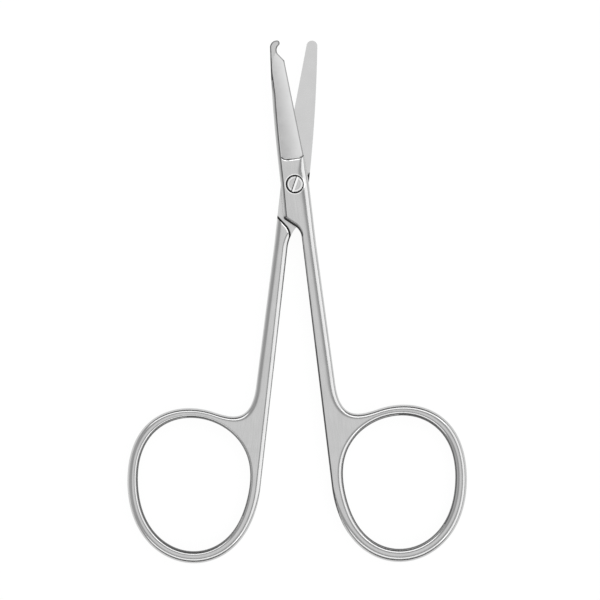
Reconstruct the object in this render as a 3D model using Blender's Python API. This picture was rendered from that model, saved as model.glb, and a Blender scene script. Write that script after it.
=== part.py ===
"""Ligature scissors, about 90 mm long, modelled in the way that they are made.

Each half is one steel forging with a finger ring. A milled recess lets the other half's
lap in, a grind on the outer face gives the blade its edge, and a slotted screw holds the
two together. Both halves come from the same die: one is turned over about its length.

A half is drawn closed, in its own frame: the joint's axis is Z, the blade points along +Y,
its own ring lies on the +X side, and z = 0 is the plane in which the two laps meet. In the
finished pair the table is z = 0, the tips point along +Y, and the blades stand ajar.
"""
import math

import bmesh
import bpy
from mathutils import Vector

MM = 0.001

# Joint: both laps together, the running gap between them, and how far each half stands open.
JOINT_THICKNESS = 2.6 * MM
FACE_GAP = 0.05 * MM
HOOKED_TURN = math.radians(6.9)
PLAIN_TURN = math.radians(-6.45)

# Finger hole: an egg, a little squarer at the top. The rings are ground by hand, so they differ.
RING_DROP = 52.2 * MM
PLAIN_RING_LOWER = 0.25 * MM
HOLE_RADIUS = 10.46 * MM
HOLE_OVAL = 0.087
HOLE_OVAL_TURN = math.radians(-6.5)
HOLE_EGG = 0.0215
HOLE_EGG_TURN = math.radians(29.4)
HOLE_SQUARE = 0.0075
HOLE_SQUARE_TURN = math.radians(9.0)
HOOKED_RING_BAND = 2.0 * MM
PLAIN_RING_BAND = 1.82 * MM
RING_BAND_SWELL = 0.22 * MM
RING_HEAVY_SIDE = math.radians(-105.0)
RING_CORNER = 0.26 * MM
RING_CORNER_TURN = math.radians(47.0)
RING_CORNER_SHARPNESS = 16
RING_THICKNESS = 2.3 * MM

# Shank and the web that joins it to the ring.
SHANK_CLEARANCE = 0.05 * MM
SHANK_WIDTH_AT_JOINT = 2.3 * MM
SHANK_STRAIGHT_TO = 10.4 * MM
SHANK_WIDTH_AT_RING = 2.66 * MM
WEB_TOP = 18.0 * MM
WEB_BEND_DOWN = 6.6 * MM
WEB_BEND_ALONG = 3.5 * MM
WEB_RING_ANGLE = math.radians(100.0)
SHANK_THINS_FROM = 9.5 * MM
SHANK_THINS_TO = 35.0 * MM

# Lap: its outer side, its end below the pivot, and the gap to the other half's step.
LAP_WIDTH_SHANK_SIDE = 2.37 * MM
LAP_WIDTH_SPINE_SIDE = 2.56 * MM
LAP_END = 5.63 * MM
LAP_END_SLOPE = math.radians(40.5)
HOOKED_LAP_FILLET = 2.5 * MM
PLAIN_LAP_FILLET = 6.4 * MM
STEP_CLEARANCE = 0.2 * MM
RECESS_SIDE = 6.5 * MM
LAP_TOP = 0.5 * MM
LAP_BEND = 3.0 * MM

# Blades: pivot to tip, where the flare of the lap has run out, and how thick the tip is.
BLADE_LENGTH = 24.6 * MM
FLARE_TOP = 8.0 * MM
FLARE_BEND = 2.0 * MM
FLARE_TOP_BEND = (0.2 * MM, 3.0 * MM)
EDGE_NARROWS_AT = 0.6
EDGE_SHARP_AT = 0.8
TIP_THICKNESS = 0.85 * MM
BLADE_THINS_FROM = 4.0 * MM

# Hooked blade: spine and edge at their ends, the notch that lifts the stitch, and the nose.
HOOKED_LAP_SPINE = 2.4 * MM
HOOKED_TIP_SPINE = 1.43 * MM
HOOKED_SPINE_BOW = 0.77 * MM
HOOKED_FLARE_EDGE = 1.76 * MM
HEEL_EDGE = 0.71 * MM
HEEL_TO_TIP = 3.5 * MM
NOTCH_CENTRE_X = 0.72 * MM
NOTCH_RADIUS = 1.1 * MM
NOTCH_LOW = math.radians(225.0)
NOTCH_HIGH = math.radians(125.0)
NOSE_RADIUS = 0.45 * MM
NOSE_SHOULDER = 1.15 * MM

# Plain blade: spine and edge at their ends, and the round of the blunt tip.
PLAIN_LAP_SPINE = 2.3 * MM
PLAIN_SPINE_BOW = 0.75 * MM
PLAIN_FLARE_EDGE = 1.9 * MM
PLAIN_TIP_RADIUS = 0.92 * MM
PLAIN_TIP_EDGE = 0.7 * MM

# Roundings of the forging, each as width in plan and depth. The ring is almost a round wire:
# its widths are shares of the band.
RING_ROUND_SHARE = 0.52
RING_ROUND_DEPTH = 1.08 * MM
HOLE_ROUND_SHARE = 0.42
HOLE_ROUND_DEPTH = 1.0 * MM
HOLE_ROUND_AT_WEB = 0.6 * MM
WEB_MIDDLE = math.radians(155.0)
WEB_ROUND = (1.15 * MM, 0.98 * MM)
SHANK_ROUND = (1.25 * MM, 0.95 * MM)
INNER_ROUND = (0.35 * MM, 0.35 * MM)
SPINE_ROUND = (0.55 * MM, 0.24 * MM)
NOSE_ROUND = (0.22 * MM, 0.24 * MM)
LAP_END_ROUND = (0.12 * MM, 0.12 * MM)
EDGE_ROUND = (0.05 * MM, 0.05 * MM)

# Grind of the outer face: a slightly barrelled bevel that leaves a strip along the spine.
EDGE_LAND = 0.13 * MM
GRIND_SLOPE_AT_EDGE = math.radians(22.3)
GRIND_BARREL = 17.0 * MM
GRIND_SHOULDER = 4.25 * MM
GRIND_CORNER = 1.0 * MM
GRIND_CORNER_PAST_EDGE = 0.43 * MM
SPINE_STRIP = 0.78 * MM
GRIND_RUNOUT = 5.2 * MM
GRIND_LIFT = 1.85 * MM
GRIND_TOP = 2.45 * MM

# Pivot screw: head in the hooked half, stem in the plain half, and the slot.
HEAD_DIAMETER = 2.66 * MM
HEAD_HEIGHT = 0.7 * MM
HEAD_GAP = 0.17 * MM
HEAD_CHAMFER = 0.1 * MM
SEAT_GAP = 0.05 * MM
STEM_DIAMETER = 1.8 * MM
STEM_GAP = 0.05 * MM
HOLE_CHAMFER = 0.1 * MM
SLOT_WIDTH = 0.4 * MM
SLOT_DEPTH = 0.4 * MM
SLOT_TURN = math.radians(-19.0)

# How finely curves are drawn.
ROUND_STEPS = 4
FILLET_STEPS = 6
BEND_STEPS = 10
SIDE_STEPS = 12
STRAIGHT_STEPS = 3
NOSE_BLEND_STEPS = 2
RING_STEPS = 72
RING_BLEND_STEPS = 10
INNER_SIDE_STEP = math.radians(0.5)
INNER_SIDE_STEPS = 60
SCREW_STEPS = 48
TAPER_STEPS = 5
GRIND_STEP = 0.45 * MM

# How far cutters reach past what they cut, and from which angle on an edge is drawn sharp.
BEYOND = 3.0 * MM
CREASE_ANGLE = math.radians(32.0)

# Finish: the forgings are brushed satin, the screw is left as turned.
SATIN_GREY = 0.6
SATIN_ROUGHNESS = 0.3
TURNED_GREY = 0.62
TURNED_ROUGHNESS = 0.25


def line(start, end, steps):
    """Points from start up to, but without, end."""
    return [(start[0] + (end[0] - start[0]) * i / steps, start[1] + (end[1] - start[1]) * i / steps)
            for i in range(steps)]


def arc(centre, radius, start, end, steps):
    """Points on a circle from one angle up to, but without, the other."""
    angles = [start + (end - start) * i / steps for i in range(steps)]
    return [(centre[0] + radius * math.cos(a), centre[1] + radius * math.sin(a)) for a in angles]


def bezier(p0, p1, p2, p3, steps):
    """Points on a cubic curve, without its end."""
    points = []
    for i in range(steps):
        t = i / steps
        s = 1 - t
        weights = (s * s * s, 3 * s * s * t, 3 * s * t * t, t * t * t)
        points.append(tuple(sum(w * p[k] for w, p in zip(weights, (p0, p1, p2, p3))) for k in (0, 1)))
    return points


def edged(points, first, last=None):
    """Points with their edge rounding, which runs evenly from the first to the last."""
    last = last or first
    count = len(points)
    return [(x, y) + tuple(first[k] + (last[k] - first[k]) * i / count for k in (0, 1))
            for i, (x, y) in enumerate(points)]


def hole_radius(angle):
    oval = HOLE_OVAL * math.cos(2 * (angle - HOLE_OVAL_TURN))
    egg = HOLE_EGG * math.cos(3 * (angle - HOLE_EGG_TURN))
    square = HOLE_SQUARE * math.cos(4 * (angle - HOLE_SQUARE_TURN))
    return HOLE_RADIUS * (1 - oval + egg - square)


class Ring:
    """A finger ring: its hole and its outer side, as seen from its centre."""

    def __init__(self, drop, band):
        self.band = band
        sides = range(-INNER_SIDE_STEPS, INNER_SIDE_STEPS)
        self.inner_angle = max((math.pi + i * INNER_SIDE_STEP for i in sides), key=self.reach_inwards)
        self.centre = (SHANK_CLEARANCE + self.reach_inwards(self.inner_angle), -drop)

    def width(self, angle):
        """How broad the ring is: heavier at the bottom, with a corner opposite to the web."""
        corner = ((1 + math.cos(angle - RING_CORNER_TURN)) / 2) ** RING_CORNER_SHARPNESS
        return self.band + RING_BAND_SWELL * math.cos(angle - RING_HEAVY_SIDE) + RING_CORNER * corner

    def reach_inwards(self, angle):
        """How far the ring reaches from its centre towards the other ring."""
        return -(hole_radius(angle) + self.width(angle)) * math.cos(angle)

    def at(self, angle, radius):
        return (self.centre[0] + radius * math.cos(angle), self.centre[1] + radius * math.sin(angle))

    def hole(self, angle):
        """A point of the finger hole with its edge rounding, which is narrow beside the web."""
        web = (1 + math.cos(angle - WEB_MIDDLE)) / 2
        rounding = HOLE_ROUND_SHARE * self.width(angle)
        rounding += (HOLE_ROUND_AT_WEB - rounding) * web * web
        return self.at(angle, hole_radius(angle)) + (rounding, HOLE_ROUND_DEPTH)

    def outside(self, angle):
        """A point of the ring's outer side with its edge rounding."""
        width = self.width(angle)
        return self.at(angle, hole_radius(angle) + width) + (RING_ROUND_SHARE * width, RING_ROUND_DEPTH)


def lap_end(inner, drop, radius):
    """The slanting end of a lap and its fillet into a straight inner edge, from spine to ring.

    inner is the x of that edge and drop moves the slant away from the pivot. The first
    returned value is the slant's height above x = 0.
    """
    slope = math.tan(LAP_END_SLOPE)
    height = -LAP_END - slope * LAP_WIDTH_SPINE_SIDE - drop / math.cos(LAP_END_SLOPE)
    centre_x = inner - radius
    centre_y = height - slope * centre_x - radius / math.cos(LAP_END_SLOPE)
    start = math.pi / 2 - LAP_END_SLOPE
    fillet = arc((centre_x, centre_y), radius, start, 0.0, FILLET_STEPS)
    return height, fillet + [(inner, centre_y)]


def handle_outline(ring, lap_fillet):
    """From the end of the lap down the inner edge, round the ring and up the outer edge."""
    _, fillet = lap_end(SHANK_CLEARANCE, 0.0, lap_fillet)
    web_end = WEB_RING_ANGLE + 2 * math.pi
    count = round(RING_STEPS * (web_end - ring.inner_angle) / (2 * math.pi))
    turn = (web_end - ring.inner_angle) / count
    round_ring = [ring.outside(ring.inner_angle + turn * i) for i in range(count)]
    inner_side = []
    for i, (x, y, *rounding) in enumerate(round_ring[:RING_BLEND_STEPS]):
        share = i / RING_BLEND_STEPS
        inner_side.append((x, y) + tuple(a + (b - a) * share for a, b in zip(INNER_ROUND, rounding)))
    web_start = ring.outside(web_end)
    before = round_ring[-1]
    along = Vector((web_start[0] - before[0], web_start[1] - before[1])).normalized() * WEB_BEND_ALONG
    web_top = (SHANK_CLEARANCE + SHANK_WIDTH_AT_RING, ring.centre[1] + WEB_TOP)
    web = bezier(web_start[:2], (web_start[0] + along.x, web_start[1] + along.y),
                 (web_top[0], web_top[1] - WEB_BEND_DOWN), web_top, SIDE_STEPS)
    joint_side = (SHANK_CLEARANCE + SHANK_WIDTH_AT_JOINT, -SHANK_STRAIGHT_TO)
    lap_side = (LAP_WIDTH_SHANK_SIDE, -LAP_TOP)
    joint = bezier(joint_side, (joint_side[0], joint_side[1] + LAP_BEND),
                   (lap_side[0], lap_side[1] - LAP_BEND), lap_side, FILLET_STEPS)
    web_middle = SIDE_STEPS // 2
    return (edged(fillet[:-1], LAP_END_ROUND, INNER_ROUND)
            + edged(line(fillet[-1], round_ring[0], SIDE_STEPS), INNER_ROUND)
            + inner_side
            + round_ring[RING_BLEND_STEPS:]
            + edged(web[:web_middle], web_start[2:], WEB_ROUND)
            + edged(web[web_middle:], WEB_ROUND, SHANK_ROUND)
            + edged(line(web_top, joint_side, SIDE_STEPS), SHANK_ROUND)
            + edged(joint, SHANK_ROUND))


def edge_flare(edge_x):
    """The lap's outer side, which runs on into the cutting edge."""
    flare = bezier((LAP_WIDTH_SHANK_SIDE, -LAP_TOP), (LAP_WIDTH_SHANK_SIDE, FLARE_BEND),
                   (edge_x + FLARE_TOP_BEND[0], FLARE_TOP - FLARE_TOP_BEND[1]), (edge_x, FLARE_TOP),
                   BEND_STEPS)
    narrows = round(EDGE_NARROWS_AT * BEND_STEPS)
    sharp = round(EDGE_SHARP_AT * BEND_STEPS)
    return (edged(flare[:narrows], SHANK_ROUND)
            + edged(flare[narrows:sharp], SHANK_ROUND, EDGE_ROUND)
            + edged(flare[sharp:], EDGE_ROUND))


def spine(tip, lap_x, bow, lap_fillet):
    """The back of the blade, from the tip down to the slanting end of the lap."""
    corner = (-LAP_WIDTH_SPINE_SIDE, -LAP_END)
    slant_end = lap_end(SHANK_CLEARANCE, 0.0, lap_fillet)[1][0]
    curve = bezier(tip, (tip[0] - bow, 2 / 3 * tip[1]), (-lap_x, tip[1] / 3), (-lap_x, 0.0), SIDE_STEPS)
    return (edged(curve[:NOSE_BLEND_STEPS], NOSE_ROUND, SPINE_ROUND)
            + edged(curve[NOSE_BLEND_STEPS:], SPINE_ROUND)
            + edged(line((-lap_x, 0.0), corner, STRAIGHT_STEPS), SPINE_ROUND)
            + edged(line(corner, slant_end, STRAIGHT_STEPS), LAP_END_ROUND))


def hooked_blade():
    """Cutting edge, heel, hooked notch, blunt nose and spine."""
    heel = (HEEL_EDGE, BLADE_LENGTH - HEEL_TO_TIP)
    reach = NOTCH_RADIUS + NOSE_RADIUS
    nose_centre = (NOTCH_CENTRE_X + reach * math.cos(NOTCH_HIGH), BLADE_LENGTH - NOSE_RADIUS)
    notch_centre = (NOTCH_CENTRE_X, nose_centre[1] - reach * math.sin(NOTCH_HIGH))
    notch = arc(notch_centre, NOTCH_RADIUS, NOTCH_LOW, NOTCH_HIGH, BEND_STEPS)
    nose = arc(nose_centre, NOSE_RADIUS, NOTCH_HIGH - math.pi, math.pi / 2, BEND_STEPS)
    tip = (-HOOKED_TIP_SPINE, BLADE_LENGTH - NOSE_SHOULDER)
    shoulder = arc((tip[0] + NOSE_SHOULDER, tip[1]), NOSE_SHOULDER, math.pi / 2, math.pi, FILLET_STEPS)
    return (edge_flare(HOOKED_FLARE_EDGE)
            + edged(line((HOOKED_FLARE_EDGE, FLARE_TOP), heel, FILLET_STEPS), EDGE_ROUND)
            + edged(line(heel, notch[0], STRAIGHT_STEPS), EDGE_ROUND, NOSE_ROUND)
            + edged(notch + nose + shoulder, NOSE_ROUND)
            + spine(tip, HOOKED_LAP_SPINE, HOOKED_SPINE_BOW, HOOKED_LAP_FILLET))


def plain_blade():
    """Cutting edge, round blunt tip and spine."""
    tip_edge = (PLAIN_TIP_EDGE, BLADE_LENGTH - PLAIN_TIP_RADIUS)
    tip_centre = (tip_edge[0] - PLAIN_TIP_RADIUS, tip_edge[1])
    tip_spine = (tip_centre[0] - PLAIN_TIP_RADIUS, tip_edge[1])
    return (edge_flare(PLAIN_FLARE_EDGE)
            + edged(line((PLAIN_FLARE_EDGE, FLARE_TOP), tip_edge, FILLET_STEPS), EDGE_ROUND)
            + edged(arc(tip_centre, PLAIN_TIP_RADIUS, 0.0, math.pi, SIDE_STEPS), NOSE_ROUND)
            + spine(tip_spine, PLAIN_LAP_SPINE, PLAIN_SPINE_BOW, PLAIN_LAP_FILLET))


def inward(points):
    """For each point of an outline that runs anticlockwise, how one step inwards goes."""
    steps = []
    for i, point in enumerate(points):
        before, after = points[i - 1], points[(i + 1) % len(points)]
        arriving = Vector((point[0] - before[0], point[1] - before[1])).normalized()
        leaving = Vector((after[0] - point[0], after[1] - point[1])).normalized()
        middle = (arriving + leaving).normalized()
        across = Vector((-middle.y, middle.x))
        steps.append(across / max(0.5, middle.dot(arriving)))
    return steps


def rounded_section(width, depth):
    """One edge section, from the lower face round to the upper: inset and height."""
    half = JOINT_THICKNESS / 2
    quarter = [math.pi / 2 * i / ROUND_STEPS for i in range(ROUND_STEPS + 1)]
    upper = [(width * (1 - math.cos(a)), half - depth * (1 - math.sin(a))) for a in quarter]
    lower = [(inset, -height) for inset, height in reversed(upper)]
    return lower + upper


def thickness_share(y):
    """The forging thins from the joint to the ring, and from the lap to the tip."""
    if y > BLADE_THINS_FROM:
        share = (y - BLADE_THINS_FROM) / (BLADE_LENGTH - BLADE_THINS_FROM)
        return 1 - share * (1 - 2 * TIP_THICKNESS / JOINT_THICKNESS)
    share = min(1.0, max(0.0, (-SHANK_THINS_FROM - y) / (SHANK_THINS_TO - SHANK_THINS_FROM)))
    eased = share * share * (3 - 2 * share)
    return 1 - eased * (1 - RING_THICKNESS / JOINT_THICKNESS)


def slice_across(bm, along, places):
    """Cut a mesh through, without parting it, where its faces have to bend."""
    for place in places:
        bmesh.ops.bisect_plane(bm, geom=bm.verts[:] + bm.edges[:] + bm.faces[:], dist=1e-7,
                               plane_co=[place * share for share in along], plane_no=along)


def forging(name, ring, lap_fillet, blade):
    """The blank of one half: outline and finger hole, with rounded edges, drawn thinner at the ends."""
    hole = [ring.hole(-2 * math.pi * i / RING_STEPS) for i in range(RING_STEPS)]
    bm = bmesh.new()
    lands = ([], [])
    for outline in (handle_outline(ring, lap_fillet) + blade, hole):
        steps = inward(outline)
        rows = []
        for (x, y, width, depth), step in zip(outline, steps):
            section = rounded_section(width, depth)
            rows.append([bm.verts.new((x + step.x * inset, y + step.y * inset, z)) for inset, z in section])
        for i, row in enumerate(rows):
            following = rows[(i + 1) % len(rows)]
            for k in range(len(row) - 1):
                bm.faces.new((row[k], following[k], following[k + 1], row[k + 1]))
            lands[0].append(bm.edges.get((row[0], following[0])))
            lands[1].append(bm.edges.get((row[-1], following[-1])))
    for land, normal in zip(lands, ((0, 0, -1), (0, 0, 1))):
        bmesh.ops.triangle_fill(bm, use_beauty=True, edges=land, normal=normal)
    taper = (SHANK_THINS_TO - SHANK_THINS_FROM) / TAPER_STEPS
    bends = [-SHANK_THINS_FROM - i * taper for i in range(TAPER_STEPS + 1)]
    slice_across(bm, (0, 1, 0), [BLADE_THINS_FROM] + bends)
    for vert in bm.verts:
        vert.co.z *= thickness_share(vert.co.y)
    return to_object(name, bm)


def to_object(name, bm):
    bmesh.ops.recalc_face_normals(bm, faces=bm.faces[:])
    mesh = bpy.data.meshes.new(name)
    bm.to_mesh(mesh)
    bm.free()
    obj = bpy.data.objects.new(name, mesh)
    bpy.context.collection.objects.link(obj)
    return obj


def prism(name, outline, low, high):
    """A straight block over a plan outline."""
    bm = bmesh.new()
    face = bm.faces.new([bm.verts.new((x, y, low)) for x, y in outline])
    sides = bmesh.ops.extrude_face_region(bm, geom=[face])["geom"]
    for vert in (v for v in sides if isinstance(v, bmesh.types.BMVert)):
        vert.co.z = high
    return to_object(name, bm)


def recess_cutter(name, lap_fillet):
    """What is milled away below the lap: the other half's lap, with its clearance, turned over."""
    height, fillet = lap_end(-SHANK_CLEARANCE / 2, STEP_CLEARANCE, lap_fillet)
    left = -LAP_WIDTH_SHANK_SIDE - BEYOND
    right = LAP_WIDTH_SPINE_SIDE + BEYOND
    top = BLADE_LENGTH + BEYOND
    slant_start = (left, height - math.tan(LAP_END_SLOPE) * left)
    bottom = -LAP_END - RECESS_SIDE
    outline = [slant_start] + fillet + [(fillet[-1][0], bottom), (right, bottom), (right, top), (left, top)]
    mirrored = [(-x, y) for x, y in reversed(outline)]
    return prism(name, mirrored, -JOINT_THICKNESS, FACE_GAP / 2)


def grind_height(x, y, edge_low, edge_high):
    """The ground face: barrelled, rising from the cutting edge to the spine, run out at the tip."""
    run = Vector((edge_high[0] - edge_low[0], edge_high[1] - edge_low[1]))
    distance = (run.x * (y - edge_low[1]) - run.y * (x - edge_low[0])) / run.length
    rise = math.tan(GRIND_SLOPE_AT_EDGE) * distance - distance * distance / (2 * GRIND_BARREL)
    lift = max(0.0, y - BLADE_LENGTH + GRIND_RUNOUT) / GRIND_RUNOUT
    return EDGE_LAND + rise + GRIND_LIFT * lift * lift


def grind_cutter(name, edge_low, edge_high, lap_spine):
    """The grind on a blade's outer face, with its rounded shoulder above the screw."""
    left = SPINE_STRIP - lap_spine
    right = edge_low[0] + BEYOND
    top = BLADE_LENGTH + BEYOND
    corner_y = GRIND_SHOULDER + GRIND_CORNER
    corner_x = edge_low[0] + GRIND_CORNER_PAST_EDGE - GRIND_CORNER
    spine_corner = arc((left + GRIND_CORNER, corner_y), GRIND_CORNER, math.pi, 1.5 * math.pi, FILLET_STEPS)
    edge_corner = arc((corner_x, corner_y), GRIND_CORNER, 1.5 * math.pi, 2 * math.pi, FILLET_STEPS)
    outline = spine_corner + edge_corner + [(right, corner_y), (right, top), (left, top)]
    bm = bmesh.new()
    bm.faces.new([bm.verts.new((x, y, 0.0)) for x, y in outline])
    columns = math.ceil((right - left) / GRIND_STEP)
    rows = math.ceil((top - BLADE_LENGTH + GRIND_RUNOUT) / GRIND_STEP)
    slice_across(bm, (1, 0, 0), [left + i * GRIND_STEP for i in range(1, columns)])
    slice_across(bm, (0, 1, 0), [BLADE_LENGTH - GRIND_RUNOUT + i * GRIND_STEP for i in range(rows)])
    sides = bmesh.ops.extrude_face_region(bm, geom=bm.faces[:])["geom"]
    raised = {v for v in sides if isinstance(v, bmesh.types.BMVert)}
    for vert in bm.verts:
        if vert in raised:
            vert.co.z = JOINT_THICKNESS
        else:
            vert.co.z = min(GRIND_TOP, grind_height(vert.co.x, vert.co.y, edge_low, edge_high))
    return to_object(name, bm)


def turned(name, profile, steps):
    """A turned solid from its profile of radius and height, from top to bottom on the axis."""
    bm = bmesh.new()
    verts = [bm.verts.new((radius, 0, height)) for radius, height in profile]
    edges = [bm.edges.new(pair) for pair in zip(verts, verts[1:])]
    bmesh.ops.spin(bm, geom=verts + edges, axis=(0, 0, 1), cent=(0, 0, 0), angle=2 * math.pi,
                   steps=steps, use_merge=True)
    bmesh.ops.remove_doubles(bm, verts=bm.verts[:], dist=1e-6)
    return to_object(name, bm)


def head_hole_cutter(name):
    """The seat of the screw's head and the hole of its stem, through the hooked half."""
    face = JOINT_THICKNESS / 2
    head = HEAD_DIAMETER / 2 + HEAD_GAP
    stem = STEM_DIAMETER / 2 + STEM_GAP
    floor = face - HEAD_HEIGHT - SEAT_GAP
    return turned(name, [(0, face + BEYOND), (head + HOLE_CHAMFER + BEYOND, face + BEYOND),
                         (head, face - HOLE_CHAMFER), (head, floor), (stem, floor),
                         (stem, -face), (0, -face)], SCREW_STEPS)


def stem_hole_cutter(name):
    """The hole that takes the stem, through the plain half."""
    stem = STEM_DIAMETER / 2 + STEM_GAP
    return turned(name, [(0, JOINT_THICKNESS), (stem, JOINT_THICKNESS), (stem, -JOINT_THICKNESS),
                         (0, -JOINT_THICKNESS)], SCREW_STEPS)


def steel(name, grey, roughness):
    material = bpy.data.materials.new(name)
    material.use_nodes = True
    shader = material.node_tree.nodes["Principled BSDF"]
    shader.inputs["Base Color"].default_value = (grey, grey, grey, 1.0)
    shader.inputs["Metallic"].default_value = 1.0
    shader.inputs["Roughness"].default_value = roughness
    return material


def cut(obj, cutters):
    """Take the cutters out of a piece, each as a live Boolean that rides on the piece."""
    for cutter in cutters:
        cutter.parent = obj
        cutter.hide_render = True
        cutter.display_type = "WIRE"
        modifier = obj.modifiers.new(cutter.name, "BOOLEAN")
        modifier.operation = "DIFFERENCE"
        modifier.object = cutter


def finish(obj, material):
    obj.data.materials.append(material)
    obj.data.shade_smooth()
    obj.data.set_sharp_from_angle(angle=CREASE_ANGLE)


def make_hooked_half(material):
    half = forging("hooked_half", Ring(RING_DROP, HOOKED_RING_BAND), HOOKED_LAP_FILLET, hooked_blade())
    cut(half, [recess_cutter("hooked_recess_cutter", PLAIN_LAP_FILLET),
               grind_cutter("hooked_grind_cutter", (HOOKED_FLARE_EDGE, FLARE_TOP),
                            (HEEL_EDGE, BLADE_LENGTH - HEEL_TO_TIP), HOOKED_LAP_SPINE),
               head_hole_cutter("head_hole_cutter")])
    finish(half, material)
    half.location.z = JOINT_THICKNESS / 2
    half.rotation_euler.z = HOOKED_TURN


def make_plain_half(material):
    half = forging("plain_half", Ring(RING_DROP + PLAIN_RING_LOWER, PLAIN_RING_BAND), PLAIN_LAP_FILLET,
                   plain_blade())
    cut(half, [recess_cutter("plain_recess_cutter", HOOKED_LAP_FILLET),
               grind_cutter("plain_grind_cutter", (PLAIN_FLARE_EDGE, FLARE_TOP),
                            (PLAIN_TIP_EDGE, BLADE_LENGTH - PLAIN_TIP_RADIUS), PLAIN_LAP_SPINE),
               stem_hole_cutter("stem_hole_cutter")])
    finish(half, material)
    half.location.z = JOINT_THICKNESS / 2
    half.rotation_euler = (0.0, math.pi, PLAIN_TURN)


def make_pivot_screw(material):
    top = JOINT_THICKNESS / 2
    head = HEAD_DIAMETER / 2
    stem = STEM_DIAMETER / 2
    screw = turned("pivot_screw", [(0, top), (head - HEAD_CHAMFER, top), (head, top - HEAD_CHAMFER),
                                   (head, top - HEAD_HEIGHT), (stem, top - HEAD_HEIGHT),
                                   (stem, -top), (0, -top)], SCREW_STEPS)
    half_slot = SLOT_WIDTH / 2
    slot = prism("slot_cutter", [(-half_slot, -HEAD_DIAMETER), (half_slot, -HEAD_DIAMETER),
                                 (half_slot, HEAD_DIAMETER), (-half_slot, HEAD_DIAMETER)],
                 top - SLOT_DEPTH, top + BEYOND)
    slot.rotation_euler.z = SLOT_TURN
    cut(screw, [slot])
    finish(screw, material)
    screw.location.z = JOINT_THICKNESS / 2


for old in list(bpy.data.objects):
    bpy.data.objects.remove(old)
satin = steel("satin_steel", SATIN_GREY, SATIN_ROUGHNESS)
make_hooked_half(satin)
make_plain_half(satin)
make_pivot_screw(steel("turned_steel", TURNED_GREY, TURNED_ROUGHNESS))
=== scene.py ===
"""Finish, light and camera for the ligature scissors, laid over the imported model.

The scissors lie ajar on a white table, tips towards +Y, and are seen from straight above.
Everything is in metres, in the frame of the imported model: the pivot's axis is x = y = 0.
"""
import math

import bmesh
import bpy
from mathutils import Matrix, Vector


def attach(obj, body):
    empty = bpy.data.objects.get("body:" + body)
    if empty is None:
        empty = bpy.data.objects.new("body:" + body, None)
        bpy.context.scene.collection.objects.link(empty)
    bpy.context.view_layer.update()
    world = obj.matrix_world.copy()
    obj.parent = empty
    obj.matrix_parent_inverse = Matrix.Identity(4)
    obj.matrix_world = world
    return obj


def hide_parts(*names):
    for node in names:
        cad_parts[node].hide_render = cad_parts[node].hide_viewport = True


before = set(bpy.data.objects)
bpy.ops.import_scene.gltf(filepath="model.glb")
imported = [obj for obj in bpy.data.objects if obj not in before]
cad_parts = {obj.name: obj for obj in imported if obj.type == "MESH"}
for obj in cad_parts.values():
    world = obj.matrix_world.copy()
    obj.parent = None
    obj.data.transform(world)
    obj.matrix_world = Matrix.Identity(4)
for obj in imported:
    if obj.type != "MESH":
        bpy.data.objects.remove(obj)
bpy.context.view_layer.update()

MM = 0.001

# Camera: it looks straight down through a long lens, so that rings and tips are drawn at
# one scale. The picture is square.
VIEW_WIDTH = 102.0 * MM
VIEW_CENTRE = (0.85 * MM, -19.67 * MM)
LENS_DISTANCE = 0.7
MIDDLE_HEIGHT = 1.3 * MM

camera_data = bpy.data.cameras.new("camera")
camera_data.lens = camera_data.sensor_width * LENS_DISTANCE / VIEW_WIDTH
camera = bpy.data.objects.new("camera", camera_data)
camera.location = (*VIEW_CENTRE, MIDDLE_HEIGHT + LENS_DISTANCE)
bpy.context.scene.collection.objects.link(camera)
bpy.context.scene.camera = camera
bpy.context.scene.view_settings.view_transform = "Standard"

# Table: a sheet of white card. The camera and the steel see it white, and a little darker
# where the scissors shade it.
TABLE_HALF_WIDTH = 3.0
CARD_WHITE = 0.8
CARD_GLOW = 1.05
CARD_GLOW_SHARE = 0.9
WHITE = (1.0, 1.0, 1.0, 1.0)


class Wire:
    """A socket that carries a value, so that sums are written as Python expressions."""

    def __init__(self, nodes, socket):
        self.nodes = nodes
        self.socket = socket

    def reckon(self, operation, *terms):
        return self.nodes.node("Math", {"operation": operation}, dict(enumerate(terms)))

    def __add__(self, other):
        return self.reckon("ADD", self, other)

    def __sub__(self, other):
        return self.reckon("SUBTRACT", self, other)

    def __rsub__(self, other):
        return self.reckon("SUBTRACT", other, self)

    def __mul__(self, other):
        return self.reckon("MULTIPLY", self, other)

    def __truediv__(self, other):
        return self.reckon("DIVIDE", self, other)

    def __rtruediv__(self, other):
        return self.reckon("DIVIDE", other, self)

    __radd__ = __add__
    __rmul__ = __mul__


class Nodes:
    """The nodes of one material or of the world."""

    def __init__(self, owner):
        owner.use_nodes = True
        self.tree = owner.node_tree
        self.tree.nodes.clear()

    def node(self, kind, settings=None, sockets=None, output=0):
        """One node: its settings first, then values or wires for its sockets. Gives one output."""
        made = self.tree.nodes.new("ShaderNode" + kind)
        for name, value in (settings or {}).items():
            if name == "stops":
                while len(made.color_ramp.elements) < len(value):
                    made.color_ramp.elements.new(1.0)
                for element, (place, grey) in zip(made.color_ramp.elements, value):
                    element.position = place
                    element.color = (grey, grey, grey, 1.0)
            else:
                setattr(made, name, value)
        for key, value in (sockets or {}).items():
            if isinstance(value, Wire):
                self.tree.links.new(value.socket, made.inputs[key])
            else:
                made.inputs[key].default_value = value
        return Wire(self, made.outputs[output]) if made.outputs else None


def add_object(name, data):
    made = bpy.data.objects.new(name, data)
    bpy.context.scene.collection.objects.link(made)
    return made


def mesh_from(name, bm):
    mesh = bpy.data.meshes.new(name)
    bm.to_mesh(mesh)
    bm.free()
    return mesh


table_top = bmesh.new()
bmesh.ops.create_grid(table_top, x_segments=1, y_segments=1, size=TABLE_HALF_WIDTH)
table = add_object("table_top", mesh_from("table_top", table_top))

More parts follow.
